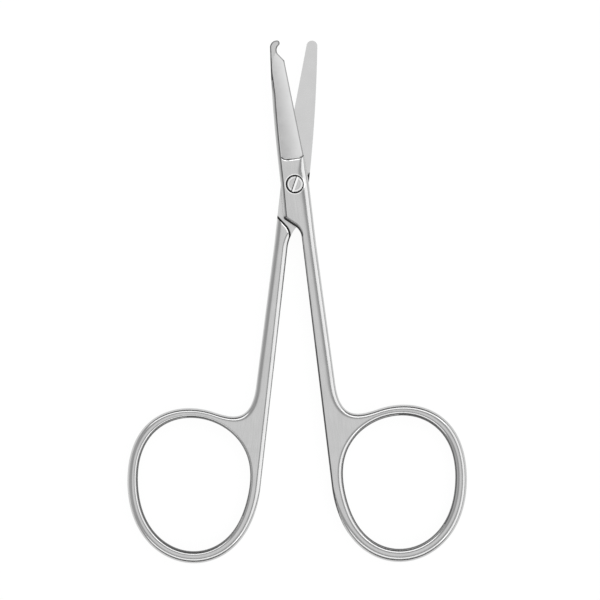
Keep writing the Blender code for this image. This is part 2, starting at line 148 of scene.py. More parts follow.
card = bpy.data.materials.new("white_card")
nodes = Nodes(card)
to_camera = nodes.node("LightPath", output="Is Camera Ray")
to_steel = nodes.node("LightPath", output="Is Glossy Ray")
matt = nodes.node("BsdfDiffuse", None, {"Color": (CARD_WHITE, CARD_WHITE, CARD_WHITE, 1.0)})
glow = nodes.node("Emission", None, {"Color": WHITE, "Strength": CARD_GLOW})
surface = nodes.node("MixShader", None, {0: (to_camera + to_steel) * CARD_GLOW_SHARE, 1: matt, 2: glow})
nodes.node("OutputMaterial", None, {"Surface": surface})
table.data.materials.append(card)

# Light: a pale room that darkens overhead round the camera and goes black behind and in front,
# and softboxes low on the right, behind and in front, which draw the bright lines along the steel.
# Greys of the room come with the height of where they are seen: 0 is level and 1 straight up.
OVERHEAD_GREYS = [(0.5, 0.56), (0.66, 0.52), (0.8, 0.48), (0.9, 0.48), (0.945, 0.66), (0.975, 0.93),
                  (1.0, 0.98)]
SIDE_GREYS = [(0.0, 0.66), (0.1, 0.68), (0.22, 0.66)] + OVERHEAD_GREYS
END_GREYS = [(0.0, 0.04), (0.3, 0.06), (0.43, 0.3)] + OVERHEAD_GREYS
# A softbox has its direction seen from above, its angle from straight up and its half height,
# in degrees, and its brightness.
SOFTBOX_DISTANCE = 1.6
SOFTBOX_LENGTH = 2.6
SOFTBOXES = {"right": (0.0, 54.0, 17.0, 0.95),
             "behind": (90.0, 47.0, 9.0, 1.5),
             "in_front": (-90.0, 47.0, 9.0, 1.1)}

world = bpy.data.worlds.new("studio")
bpy.context.scene.world = world
nodes = Nodes(world)
direction = nodes.node("TexCoord", output="Generated")
height = nodes.node("SeparateXYZ", None, {0: direction}, output="Z")
ahead = nodes.node("SeparateXYZ", None, {0: direction}, output="Y")
sides = nodes.node("ValToRGB", {"stops": SIDE_GREYS}, {0: height})
ends = nodes.node("ValToRGB", {"stops": END_GREYS}, {0: height})
room = nodes.node("Mix", {"data_type": "RGBA"}, {0: ahead * ahead, 6: sides, 7: ends}, output=2)
to_camera = nodes.node("LightPath", output="Is Camera Ray")
colour = nodes.node("Mix", {"data_type": "RGBA"}, {0: to_camera, 6: room, 7: WHITE}, output=2)
surface = nodes.node("Background", None, {"Color": colour, "Strength": 1.0})
nodes.node("OutputWorld", None, {"Surface": surface})

for side, (azimuth, tilt, half_height, brightness) in SOFTBOXES.items():
    light = bpy.data.lights.new("softbox_" + side, "AREA")
    light.shape = "RECTANGLE"
    light.size = SOFTBOX_LENGTH
    light.size_y = 2 * SOFTBOX_DISTANCE * math.tan(math.radians(half_height))
    light.energy = brightness * math.pi * light.size * light.size_y
    box = add_object("softbox_" + side, light)
    place = Matrix.Rotation(math.radians(azimuth), 4, "Z") @ Matrix.Rotation(math.radians(tilt), 4, "Y")
    box.location = place @ Vector((0.0, 0.0, SOFTBOX_DISTANCE))
    box.rotation_euler = (-box.location).to_track_quat("-Z", "Y").to_euler()
    box.visible_camera = False

# Hooked half: a steel forging, satin brushed along its shank, with its own finger ring. Its
# blade ends in the hook that lifts a stitch, and a grind on top gives the blade its edge.
# It is drawn closed, pivot on Z and tip along +Y, and then turned open.
JOINT_THICKNESS = 2.6 * MM
FACE_GAP = 0.05 * MM
HOOKED_TURN = math.radians(6.9)

# Ring: a circle that waves of two, three and four to a turn make oval, egg-shaped and squarish.
RING_DROP = 52.2 * MM
HOLE_RADIUS = 10.46 * MM
HOLE_OVAL = 0.087
HOLE_OVAL_TURN = math.radians(-6.5)
HOLE_EGG = 0.0215
HOLE_EGG_TURN = math.radians(29.4)
HOLE_SQUARE = 0.0075
HOLE_SQUARE_TURN = math.radians(9.0)
HOOKED_RING_BAND = 2.0 * MM
RING_BAND_SWELL = 0.22 * MM
RING_HEAVY_SIDE = math.radians(-105.0)
RING_CORNER = 0.26 * MM
RING_CORNER_TURN = math.radians(47.0)
RING_CORNER_SHARPNESS = 16
RING_THICKNESS = 2.3 * MM

# Shank and web.
SHANK_CLEARANCE = 0.05 * MM
SHANK_WIDTH_AT_JOINT = 2.3 * MM
SHANK_STRAIGHT_TO = 10.4 * MM
SHANK_WIDTH_AT_RING = 2.66 * MM
WEB_TOP = 18.0 * MM
WEB_BEND_DOWN = 6.6 * MM
WEB_BEND_ALONG = 3.5 * MM
WEB_RING_ANGLE = math.radians(100.0)
SHANK_THINS_FROM = 9.5 * MM
SHANK_THINS_TO = 35.0 * MM

# Lap: its slanting end, and the recess for the other half's lap.
LAP_WIDTH_SHANK_SIDE = 2.37 * MM
LAP_WIDTH_SPINE_SIDE = 2.56 * MM
LAP_END = 5.63 * MM
LAP_END_SLOPE = math.radians(40.5)
HOOKED_LAP_FILLET = 2.5 * MM
PLAIN_LAP_FILLET = 6.4 * MM
STEP_CLEARANCE = 0.2 * MM
RECESS_SIDE = 6.5 * MM
LAP_TOP = 0.5 * MM
LAP_BEND = 3.0 * MM

# Blade.
BLADE_LENGTH = 24.6 * MM
FLARE_TOP = 8.0 * MM
FLARE_BEND = 2.0 * MM
FLARE_TOP_BEND = (0.2 * MM, 3.0 * MM)
TIP_THICKNESS = 0.85 * MM
BLADE_THINS_FROM = 4.0 * MM
HOOKED_LAP_SPINE = 2.4 * MM
HOOKED_TIP_SPINE = 1.43 * MM
HOOKED_SPINE_BOW = 0.77 * MM
HOOKED_FLARE_EDGE = 1.76 * MM
HEEL_EDGE = 0.71 * MM
HEEL_TO_TIP = 3.5 * MM
NOTCH_CENTRE_X = 0.72 * MM
NOTCH_RADIUS = 1.1 * MM
NOTCH_LOW = math.radians(225.0)
NOTCH_HIGH = math.radians(125.0)
NOSE_RADIUS = 0.45 * MM
NOSE_SHOULDER = 1.15 * MM

# Rounded edges: how far each reaches in, how deep, and how full it is (see rounded_section).
RING_ROUND_SHARE = 0.52
RING_ROUND_DEPTH = 1.08 * MM
HOLE_ROUND_SHARE = 0.42
HOLE_ROUND_DEPTH = 1.0 * MM
HOOKED_HOLE_ROUND_AT_WEB = 1.1 * MM
WEB_MIDDLE = math.radians(155.0)
WEB_ROUND = (1.15 * MM, 0.98 * MM, 2.0)
HOOKED_SHANK_ROUND = (1.7 * MM, 0.95 * MM, 2.0)
HOOKED_LAP_ROUND = (2.1 * MM, 1.0 * MM, 2.0)
HOOKED_INNER_ROUND = (0.35 * MM, 0.4 * MM, 2.0)
SPINE_LEDGE = (0.55 * MM, 0.25 * MM, 0.5)
NOSE_ROUND = (0.26 * MM, 0.26 * MM, 2.0)
LAP_END_ROUND = (0.75 * MM, 0.6 * MM, 2.0)
EDGE_ROUND = (0.05 * MM, 0.05 * MM, 2.0)

# Flanks with painted shade: how far they reach in, and how little they still face up or down.
HOLE_FLANK = 0.22 * MM
HOLE_STEEPNESS = 0.8
BLADE_FLANK = 0.62 * MM
TIP_FLANK = 0.05 * MM
FILLET_FLANK = 0.12 * MM
INNER_FLANK = 0.35 * MM
FLANK_STEEPNESS = 0.93

# Grind, the wall with painted shade round it and its rim with a painted highlight, and the rim of the step,
# which carries a painted highlight too.
EDGE_LAND = 0.12 * MM
GRIND_SLOPE_AT_EDGE = math.radians(21.0)
GRIND_BARREL = 28.0 * MM
GRIND_SHOULDER = 4.35 * MM
GRIND_CORNER = 1.0 * MM
GRIND_CORNER_PAST_EDGE = 0.43 * MM
GRIND_WALL = 0.2 * MM
GRIND_RIM = 0.13 * MM
GRIND_RUNOUT = 5.2 * MM
GRIND_LIFT = 0.95 * MM
GRIND_TOP = 2.45 * MM
SPINE_STRIP = 0.62 * MM
STEP_RIM = 0.15 * MM
RIM_SLOPE = math.radians(24.0)

# Seat of the screw.
HEAD_DIAMETER = 2.66 * MM
HEAD_HEIGHT = 0.7 * MM
HEAD_GAP = 0.17 * MM
SEAT_GAP = 0.05 * MM
STEM_DIAMETER = 1.8 * MM
STEM_GAP = 0.05 * MM
HOLE_CHAMFER = 0.1 * MM

# How finely curves and faces are drawn, and how far cutters reach past what they cut.
ROUND_STEPS = 10
FILLET_STEPS = 14
SLANT_FLANK_STEPS = 5
BEND_STEPS = 24
FLARE_ROUND_STEPS = 8
FLARE_SHARP_STEPS = 19
SIDE_STEPS = 30
LEDGE_BLEND_STEPS = 10
RING_STEPS = 240
RING_BLEND_STEPS = 30
INNER_SIDE_STEP = math.radians(0.5)
INNER_SIDE_STEPS = 60
BORE_STEPS = 96
TAPER_STEPS = 12
GRIND_COLUMN = 0.15 * MM
GRIND_ROW = 0.5 * MM
CREASE = math.radians(28.0)
SAME_POINT = 0.0001 * MM
BEYOND = 3.0 * MM

# Finishes. Grain is fine lines, how many to a metre across the half and along it. Streaks are
# how much the grain varies the grey, and how strong its relief is.
SATIN_GREY = 0.57
SATIN_ROUGHNESS = 0.14
SATIN_GRAIN = (4500.0, 260.0)
SATIN_STREAKS = (0.25, 0.2)
# Painted highlight: a near-white grey for the ring round the screw's seat, the rims of the step and the
# grind, the screw head's rim and the slot. Then how far out the ring round the seat reaches, and how it
# fades.
PAINTED_HIGHLIGHT_GREY = 0.95
HIGHLIGHT_RING_TO = 1.68 * MM
HIGHLIGHT_FADE = 0.1 * MM
GROUND_GREY = 0.65
GROUND_ROUGHNESS = 0.3
GROUND_GRAIN = (700.0, 2500.0)
FINE_STREAKS = (0.06, 0.03)
# Painted shade along the cutting edges: where the dark line starts and ends, and how dark it leaves the
# steel.
EDGE_SHADE_FROM = 0.1 * MM
EDGE_SHADE_TO = 0.24 * MM
EDGE_SHADE_SHARE = 0.45
MILLED_GREY = 0.68
MILLED_ROUGHNESS = 0.28
MILLED_GRAIN = (700.0, 900.0)
# Painted shade in the corner under the step: where it starts and ends, and how dark it leaves the steel. The
# last is shared by all painted shade on the milled faces and in the slot.
CORNER_SHADE_FROM = 0.28 * MM
CORNER_SHADE_TO = 0.42 * MM
SHADE_SHARE = 0.03
# How far into a painted shadow it is fully dark.
SHADOW_CORE = 0.6
# Painted shade on steep flanks and on the wall round the grind: a nearly black steel.
FLANK_SHADE_GREY = 0.12
FLANK_ROUGHNESS = 0.35
# Painted shade in the seat round the screw head: nearly black, not metal.
SEAT_SHADE_GREY = 0.03
SEAT_SHADE_ROUGHNESS = 0.5
CLOUDS_TO_A_METRE = 350.0
CLOUD_STRENGTH = 0.12
ROUGHNESS_SWING = 0.1
GRAIN_DEPTH = 0.004 * MM


def line(start, end, steps):
    """Points from start up to, but without, end."""
    return [(start[0] + (end[0] - start[0]) * i / steps, start[1] + (end[1] - start[1]) * i / steps)
            for i in range(steps)]


def arc(centre, radius, start, end, steps):
    """Points on a circle from one angle up to, but without, the other."""
    angles = [start + (end - start) * i / steps for i in range(steps)]
    return [(centre[0] + radius * math.cos(a), centre[1] + radius * math.sin(a)) for a in angles]


def bezier(start, start_handle, end_handle, end, steps):
    """Points on a cubic curve, without its end."""
    corners = (start, start_handle, end_handle, end)
    points = []
    for i in range(steps):
        t = i / steps
        s = 1 - t
        weights = (s * s * s, 3 * s * s * t, 3 * s * t * t, t * t * t)
        points.append(tuple(sum(w * corner[k] for w, corner in zip(weights, corners)) for k in (0, 1)))
    return points


def edged(points, first, last=None):
    """Points with their edge rounding, which runs evenly from the first to the last."""
    last = last or first
    count = len(points)
    return [(x, y) + tuple(a + (b - a) * i / count for a, b in zip(first, last))
            for i, (x, y) in enumerate(points)]


def hole_radius(angle):
    """How far the edge of the finger hole lies from the ring's centre."""
    oval = HOLE_OVAL * math.cos(2 * (angle - HOLE_OVAL_TURN))
    egg = HOLE_EGG * math.cos(3 * (angle - HOLE_EGG_TURN))
    square = HOLE_SQUARE * math.cos(4 * (angle - HOLE_SQUARE_TURN))
    return HOLE_RADIUS * (1 - oval + egg - square)


class Ring:
    """A finger ring: its hole and its outer side, as seen from its centre."""

    def __init__(self, drop, band, hole_round_at_web):
        self.band = band
        self.hole_round_at_web = hole_round_at_web
        sides = range(-INNER_SIDE_STEPS, INNER_SIDE_STEPS)
        self.inner_angle = max((math.pi + i * INNER_SIDE_STEP for i in sides), key=self.reach_inwards)
        self.centre = (SHANK_CLEARANCE + self.reach_inwards(self.inner_angle), -drop)

    def width(self, angle):
        """How broad the ring is: heavier at the bottom, with a corner opposite to the web."""
        corner = ((1 + math.cos(angle - RING_CORNER_TURN)) / 2) ** RING_CORNER_SHARPNESS
        return self.band + RING_BAND_SWELL * math.cos(angle - RING_HEAVY_SIDE) + RING_CORNER * corner

    def reach_inwards(self, angle):
        """How far the ring reaches from its centre towards the other ring."""
        return -(hole_radius(angle) + self.width(angle)) * math.cos(angle)

    def at(self, angle, radius):
        """A place seen from the ring's centre."""
        return (self.centre[0] + radius * math.cos(angle), self.centre[1] + radius * math.sin(angle))

    def hole(self, angle):
        """A point of the finger hole with its edge rounding, which is narrow beside the web."""
        web = (1 + math.cos(angle - WEB_MIDDLE)) / 2
        rounding = HOLE_ROUND_SHARE * self.width(angle)
        rounding += (self.hole_round_at_web - rounding) * web * web
        return self.at(angle, hole_radius(angle)) + (rounding, HOLE_ROUND_DEPTH, 2.0)

    def outside(self, angle):
        """A point of the ring's outer side with its edge rounding."""
        width = self.width(angle)
        return self.at(angle, hole_radius(angle) + width) + (RING_ROUND_SHARE * width, RING_ROUND_DEPTH, 2.0)


def lap_end(inner, drop, radius):
    """The slanting end of a lap and its fillet into a straight inner edge, from spine to ring.

    inner is the x of that edge and drop moves the slant away from the pivot. The first
    returned value is the slant's height above x = 0.
    """
    slope = math.tan(LAP_END_SLOPE)
    height = -LAP_END - slope * LAP_WIDTH_SPINE_SIDE - drop / math.cos(LAP_END_SLOPE)
    centre_x = inner - radius
    centre_y = height - slope * centre_x - radius / math.cos(LAP_END_SLOPE)
    start = math.pi / 2 - LAP_END_SLOPE
    fillet = arc((centre_x, centre_y), radius, start, 0.0, FILLET_STEPS)
    return height, fillet + [(inner, centre_y)]


def handle_outline(ring, lap_fillet, inner_round, shank_round, lap_round):
    """From the end of the lap down the inner edge, round the ring and up the outer edge."""
    _, fillet = lap_end(SHANK_CLEARANCE, 0.0, lap_fillet)
    web_end = WEB_RING_ANGLE + 2 * math.pi
    count = round(RING_STEPS * (web_end - ring.inner_angle) / (2 * math.pi))
    turn = (web_end - ring.inner_angle) / count
    round_ring = [ring.outside(ring.inner_angle + turn * i) for i in range(count)]
    inner_side = []
    for i, (x, y, *rounding) in enumerate(round_ring[:RING_BLEND_STEPS]):
        share = i / RING_BLEND_STEPS
        inner_side.append((x, y) + tuple(a + (b - a) * share for a, b in zip(inner_round, rounding)))
    web_start = ring.outside(web_end)
    before = round_ring[-1]
    along = Vector((web_start[0] - before[0], web_start[1] - before[1])).normalized() * WEB_BEND_ALONG
    web_top = (SHANK_CLEARANCE + SHANK_WIDTH_AT_RING, ring.centre[1] + WEB_TOP)
    web = bezier(web_start[:2], (web_start[0] + along.x, web_start[1] + along.y),
                 (web_top[0], web_top[1] - WEB_BEND_DOWN), web_top, SIDE_STEPS)
    joint_side = (SHANK_CLEARANCE + SHANK_WIDTH_AT_JOINT, -SHANK_STRAIGHT_TO)
    lap_side = (LAP_WIDTH_SHANK_SIDE, -LAP_TOP)
    joint = bezier(joint_side, (joint_side[0], joint_side[1] + LAP_BEND),
                   (lap_side[0], lap_side[1] - LAP_BEND), lap_side, FILLET_STEPS)
    web_middle = SIDE_STEPS // 2
    return (edged(fillet[:-1], LAP_END_ROUND, inner_round)
            + edged(line(fillet[-1], round_ring[0], SIDE_STEPS), inner_round)
            + inner_side
            + round_ring[RING_BLEND_STEPS:]
            + edged(web[:web_middle], web_start[2:], WEB_ROUND)
            + edged(web[web_middle:], WEB_ROUND, shank_round)
            + edged(line(web_top, joint_side, SIDE_STEPS), shank_round)
            + edged(joint, shank_round, lap_round))


def edge_flare(edge_x, lap_round):
    """The lap's outer side, which runs on into the cutting edge."""
    flare = bezier((LAP_WIDTH_SHANK_SIDE, -LAP_TOP), (LAP_WIDTH_SHANK_SIDE, FLARE_BEND),
                   (edge_x + FLARE_TOP_BEND[0], FLARE_TOP - FLARE_TOP_BEND[1]), (edge_x, FLARE_TOP),
                   BEND_STEPS)
    return (edged(flare[:FLARE_ROUND_STEPS], lap_round)
            + edged(flare[FLARE_ROUND_STEPS:FLARE_SHARP_STEPS], lap_round, EDGE_ROUND)
            + edged(flare[FLARE_SHARP_STEPS:], EDGE_ROUND))


def spine(tip, lap_x, bow, lap_fillet):
    """The back of the blade, from the tip down to the slanting end of the lap."""
    corner = (-LAP_WIDTH_SPINE_SIDE, -LAP_END)
    slant_end = lap_end(SHANK_CLEARANCE, 0.0, lap_fillet)[1][0]
    curve = bezier(tip, (tip[0] - bow, 2 / 3 * tip[1]), (-lap_x, tip[1] / 3), (-lap_x, 0.0), SIDE_STEPS)
    return (edged(curve[:LEDGE_BLEND_STEPS], NOSE_ROUND, SPINE_LEDGE)
            + edged(curve[LEDGE_BLEND_STEPS:], SPINE_LEDGE)
            + edged(line((-lap_x, 0.0), corner, FILLET_STEPS), SPINE_LEDGE)
            + edged(line(corner, slant_end, FILLET_STEPS), LAP_END_ROUND))


def hooked_nose():
    """From the heel of the cutting edge through the hooked notch and round the blunt nose."""
    heel = (HEEL_EDGE, BLADE_LENGTH - HEEL_TO_TIP)
    reach = NOTCH_RADIUS + NOSE_RADIUS
    nose_centre = (NOTCH_CENTRE_X + reach * math.cos(NOTCH_HIGH), BLADE_LENGTH - NOSE_RADIUS)
    notch_centre = (NOTCH_CENTRE_X, nose_centre[1] - reach * math.sin(NOTCH_HIGH))
    notch = arc(notch_centre, NOTCH_RADIUS, NOTCH_LOW, NOTCH_HIGH, BEND_STEPS)
    nose = arc(nose_centre, NOSE_RADIUS, NOTCH_HIGH - math.pi, math.pi / 2, BEND_STEPS)
    tip = (-HOOKED_TIP_SPINE, BLADE_LENGTH - NOSE_SHOULDER)
    shoulder = arc((tip[0] + NOSE_SHOULDER, tip[1]), NOSE_SHOULDER, math.pi / 2, math.pi, FILLET_STEPS)
    return (edged(line(heel, notch[0], FILLET_STEPS), EDGE_ROUND, NOSE_ROUND)
            + edged(notch + nose + shoulder, NOSE_ROUND))


def hooked_blade():
    """Cutting edge, hooked nose and spine."""
    nose = hooked_nose()
    tip = (-HOOKED_TIP_SPINE, BLADE_LENGTH - NOSE_SHOULDER)
    return (edge_flare(HOOKED_FLARE_EDGE, HOOKED_LAP_ROUND)
            + edged(line((HOOKED_FLARE_EDGE, FLARE_TOP), nose[0][:2], SIDE_STEPS), EDGE_ROUND)
            + nose
            + spine(tip, HOOKED_LAP_SPINE, HOOKED_SPINE_BOW, HOOKED_LAP_FILLET))


def inward(points):
    """For each point of an outline that runs anticlockwise, how one step inwards goes.

    It is longer at a corner, so that the sides move alike, but at most twice as long.
    """
    steps = []
    for i, point in enumerate(points):
        before, after = points[i - 1], points[(i + 1) % len(points)]
        arriving = Vector((point[0] - before[0], point[1] - before[1])).normalized()
        leaving = Vector((after[0] - point[0], after[1] - point[1])).normalized()
        middle = (arriving + leaving).normalized()
        across = Vector((-middle.y, middle.x))
        steps.append(across / max(0.5, middle.dot(arriving)))
    return steps


def rounded_section(width, depth, fullness):
    """One edge section, from the lower face round to the upper: inset and height.

    A fullness of 2 makes it elliptical. More is squarer. Less has a crease along the land, and
    below 1 it is hollow, a ledge.
    """
    half = JOINT_THICKNESS / 2
    power = 2 / fullness
    angles = [math.pi / 2 * i / ROUND_STEPS for i in range(ROUND_STEPS)]
    quarter = [(math.cos(a), math.sin(a)) for a in angles] + [(0.0, 1.0)]
    upper = [(width * (1 - c ** power), half - depth * (1 - s ** power)) for c, s in quarter]
    lower = [(inset, -height) for inset, height in reversed(upper)]
    return lower + upper


def thickness_share(y):
    """The forging thins from the joint to the ring, and from the lap to the tip."""
    if y > BLADE_THINS_FROM:
        share = (y - BLADE_THINS_FROM) / (BLADE_LENGTH - BLADE_THINS_FROM)
        return 1 - share * (1 - 2 * TIP_THICKNESS / JOINT_THICKNESS)
    share = min(1.0, max(0.0, (-SHANK_THINS_FROM - y) / (SHANK_THINS_TO - SHANK_THINS_FROM)))
    eased = share * share * (3 - 2 * share)
    return 1 - eased * (1 - RING_THICKNESS / JOINT_THICKNESS)


def slice_across(bm, along, places):
    """Cut a mesh through, without parting it, where its faces have to bend."""
    for place in places:
        bmesh.ops.bisect_plane(bm, geom=bm.verts[:] + bm.edges[:] + bm.faces[:], dist=SAME_POINT,
                               plane_co=[place * share for share in along], plane_no=along)


def join_loops(bm, rings):
    """Skin a row of closed loops, given as points. Returns the edges of the first and the last."""
    loops = []
    for points in rings:
        verts = [bm.verts.new(point) for point in points]
        loops.append([bm.edges.new((vert, verts[i - 1])) for i, vert in enumerate(verts)])
    for lower, upper in zip(loops, loops[1:]):
        bmesh.ops.bridge_loops(bm, edges=lower + upper)
    return loops[0], loops[-1]


def runs(points, first, last):
    """The straight runs of a path with their widths, which go evenly from the first to the last."""
    count = len(points) - 1
    return [(*ends, first + (last - first) * i / count) for i, ends in enumerate(zip(points, points[1:]))]


def beside(point, start, end, width):
    """Whether a point lies within a width of a straight run."""
    run = Vector(end) - Vector(start)
    share = (point - Vector(start)).dot(run) / run.length_squared
    return (point - Vector(start) - run * min(1.0, max(0.0, share))).length < width


def paint_flank_shade(bm, ring, shaded_runs):
    """Give the steep flanks of the finger hole, and those beside some runs, the second finish: painted shade.
    """
    for face in bm.faces:
        centre = face.calc_center_median()
        away = Vector((centre.x - ring.centre[0], centre.y - ring.centre[1]))
        beyond_hole = away.length - hole_radius(math.atan2(away.y, away.x))
        in_hole = beyond_hole < HOLE_FLANK and abs(face.normal.z) < HOLE_STEEPNESS
        steep = abs(face.normal.z) < FLANK_STEEPNESS
        if in_hole or steep and any(beside(centre.xy, *run) for run in shaded_runs):
            face.material_index = 1


def closed_object(name, bm, *metals):
    """An object of a closed mesh with its faces outwards, in metals that its faces choose from."""
    bmesh.ops.recalc_face_normals(bm, faces=bm.faces[:])
    made = add_object(name, mesh_from(name, bm))
    for metal in metals:
        made.data.materials.append(metal)
    return made


def forging(name, handle, blade, ring, shaded_runs, metals):
    """The blank of one half: outline and finger hole, with rounded edges, drawn thinner at the ends.

    The first metal is its finish, and the second the painted shade of its steep flanks.
    """
    hole = [ring.hole(-2 * math.pi * i / RING_STEPS) for i in range(RING_STEPS)]
    bm = bmesh.new()
    lands = ([], [])
    for outline in (handle + blade, hole):
        steps = inward(outline)
        sections = [rounded_section(*rounding) for _, _, *rounding in outline]
        rings = []
        for level in zip(*sections):
            rings.append([(x + step.x * inset, y + step.y * inset, height)
                          for (x, y, *_), step, (inset, height) in zip(outline, steps, level)])
        for land, edges in zip(lands, join_loops(bm, rings)):
            land.extend(edges)
    for land, normal in zip(lands, ((0, 0, -1), (0, 0, 1))):
        bmesh.ops.triangle_fill(bm, use_beauty=True, edges=land, normal=normal)
    taper = (SHANK_THINS_TO - SHANK_THINS_FROM) / TAPER_STEPS
    bends = [-SHANK_THINS_FROM - i * taper for i in range(TAPER_STEPS + 1)]
    slice_across(bm, (0, 1, 0), [BLADE_THINS_FROM] + bends)
    for vert in bm.verts:
        vert.co.z *= thickness_share(vert.co.y)
    bmesh.ops.recalc_face_normals(bm, faces=bm.faces[:])
    bm.normal_update()
    paint_flank_shade(bm, ring, shaded_runs)
    return closed_object(name, bm, *metals)


def block(name, outline, levels, *metals):
    """A block over a plan outline. Each level is a height and how far the outline is set out there."""
    bm = bmesh.new()
    steps = inward(outline)
    rings = [[(x - step.x * outset, y - step.y * outset, height) for (x, y), step in zip(outline, steps)]
             for height, outset in levels]
    for end in join_loops(bm, rings):
        bmesh.ops.contextual_create(bm, geom=end)
    return closed_object(name, bm, *metals)


def bevel(width):
    """A bevel that flares outwards, low enough to shine: how high it climbs, and how far out it is."""
    return [(0.0, 0.0), (width * math.tan(RIM_SLOPE), width)]


def recess_cutter(name, lap_fillet, metal, rim_metal):
    """What is milled away below the lap: the other half's lap, with its clearance, turned over.

    The edge of the step that it leaves is bevelled, and its bevel carries a painted highlight.
    """
    height, fillet = lap_end(-SHANK_CLEARANCE / 2, STEP_CLEARANCE, lap_fillet)
    left = -LAP_WIDTH_SHANK_SIDE - BEYOND
    right = LAP_WIDTH_SPINE_SIDE + BEYOND
    top = BLADE_LENGTH + BEYOND
    slant_start = (left, height - math.tan(LAP_END_SLOPE) * left)
    bottom = -LAP_END - RECESS_SIDE
    outline = [slant_start] + fillet + [(fillet[-1][0], bottom), (right, bottom), (right, top), (left, top)]
    mirrored = [(-x, y) for x, y in reversed(outline)]
    flare = bevel(STEP_RIM)
    foot = flare[-1][0] - JOINT_THICKNESS / 2
    levels = [(FACE_GAP / 2, 0.0)] + [(foot - climb, outset) for climb, outset in flare]
    levels.append((-JOINT_THICKNESS, STEP_RIM))
    made = block(name, mirrored, levels, metal, rim_metal)
    for polygon in made.data.polygons:
        polygon.material_index = int(polygon.center.z < foot)
    return made


def from_edge(x, y, edge):
    """How far a place lies from a straight edge, towards the spine, in numbers or in wires."""
    (low_x, low_y), (high_x, high_y) = edge
    length = math.dist(*edge)
    return (y - low_y) * ((high_x - low_x) / length) - (x - low_x) * ((high_y - low_y) / length)


def grind_height(x, y, edge):
    """The ground face: barrelled, rising from the cutting edge to the spine, run out at the tip."""
    distance = from_edge(x, y, edge)
    rise = math.tan(GRIND_SLOPE_AT_EDGE) * distance - distance * distance / (2 * GRIND_BARREL)
    lift = max(0.0, y - BLADE_LENGTH + GRIND_RUNOUT) / GRIND_RUNOUT
    return EDGE_LAND + rise + GRIND_LIFT * lift * lift


def grind_cutter(name, edge, lap_spine, metals):
    """The grind on a blade's outer face, with its rounded shoulder above the screw.

    The metals are those of the ground face, of the wall round it, which carries painted shade, and of
    the wall's rim, which carries a painted highlight. The face is drawn out upwards into the wall and
    the rim, and then straight out of the blank.
    """
    left = SPINE_STRIP - lap_spine
    right = edge[0][0] + BEYOND
    top = BLADE_LENGTH + BEYOND
    corner_y = GRIND_SHOULDER + GRIND_CORNER
    corner_x = edge[0][0] + GRIND_CORNER_PAST_EDGE - GRIND_CORNER
    spine_corner = arc((left + GRIND_CORNER, corner_y), GRIND_CORNER, math.pi, 1.5 * math.pi, FILLET_STEPS)
    edge_corner = arc((corner_x, corner_y), GRIND_CORNER, 1.5 * math.pi, 2 * math.pi, FILLET_STEPS)
    outline = spine_corner + edge_corner + [(right, corner_y), (right, top), (left, top)]

    def from_corner(point):
        """How a point lies from the nearest centre of the rounded corners and what joins them."""
        return Vector((point.x - min(max(point.x, left + GRIND_CORNER), corner_x),
                       point.y - max(point.y, corner_y), 0.0))

    bm = bmesh.new()
    bm.faces.new([bm.verts.new((x, y, 0.0)) for x, y in outline])
    columns = math.ceil((right - left) / GRIND_COLUMN)
    rows = math.ceil((top - GRIND_SHOULDER) / GRIND_ROW)
    slice_across(bm, (1, 0, 0), [left + i * GRIND_COLUMN for i in range(1, columns)])
    slice_across(bm, (0, 1, 0), [GRIND_SHOULDER + i * GRIND_ROW for i in range(1, rows)])
    for vert in bm.verts:
        vert.co.z = min(GRIND_TOP, grind_height(vert.co.x, vert.co.y, edge))
    raised = bm.faces[:] + bm.edges[:]
    flare = bevel(GRIND_RIM)
    foot = JOINT_THICKNESS / 2 - flare[-1][0]
    levels = [(foot + climb, GRIND_WALL + outset) for climb, outset in flare]
    reached = 0.0
    for height, outset in levels + [(JOINT_THICKNESS, GRIND_WALL + GRIND_RIM)]:
        raised = bmesh.ops.extrude_face_region(bm, geom=raised)["geom"]
        cap = {part for part in raised if isinstance(part, bmesh.types.BMFace)}
        for vert in (part for part in raised if isinstance(part, bmesh.types.BMVert)):
            vert.co.z = max(vert.co.z, height)
            if not cap.issuperset(vert.link_faces):
                vert.co += from_corner(vert.co).normalized() * (outset - reached)
        reached = outset
    bmesh.ops.remove_doubles(bm, verts=bm.verts[:], dist=SAME_POINT)
    for face in bm.faces:
        beyond = from_corner(face.calc_center_median()).length - GRIND_CORNER
        face.material_index = (beyond > SAME_POINT) + (beyond > GRIND_WALL)
    return closed_object(name, bm, *metals)


def turned(name, profile, steps, metal):
    """A turned solid from its profile of radius and height, from top to bottom on the axis."""
    bm = bmesh.new()
    verts = [bm.verts.new((radius, 0, height)) for radius, height in profile]
    edges = [bm.edges.new(pair) for pair in zip(verts, verts[1:])]
    bmesh.ops.spin(bm, geom=verts + edges, axis=(0, 0, 1), cent=(0, 0, 0), angle=2 * math.pi,
                   steps=steps, use_merge=True)
    bmesh.ops.remove_doubles(bm, verts=bm.verts[:], dist=SAME_POINT)
    return closed_object(name, bm, metal)


def cut(blank, cutters):
    """Take the cutters out of a blank for good. Cut faces keep the cutter's finish."""
    for cutter in cutters:
        modifier = blank.modifiers.new(cutter.name, "BOOLEAN")
        modifier.operation = "DIFFERENCE"
        modifier.material_mode = "TRANSFER"
        modifier.object = cutter
    bpy.context.view_layer.update()
    seen = blank.evaluated_get(bpy.context.evaluated_depsgraph_get())
    result = bpy.data.meshes.new_from_object(seen)
    blank.modifiers.clear()
    blank.data = result
    for cutter in cutters:
        bpy.data.objects.remove(cutter)


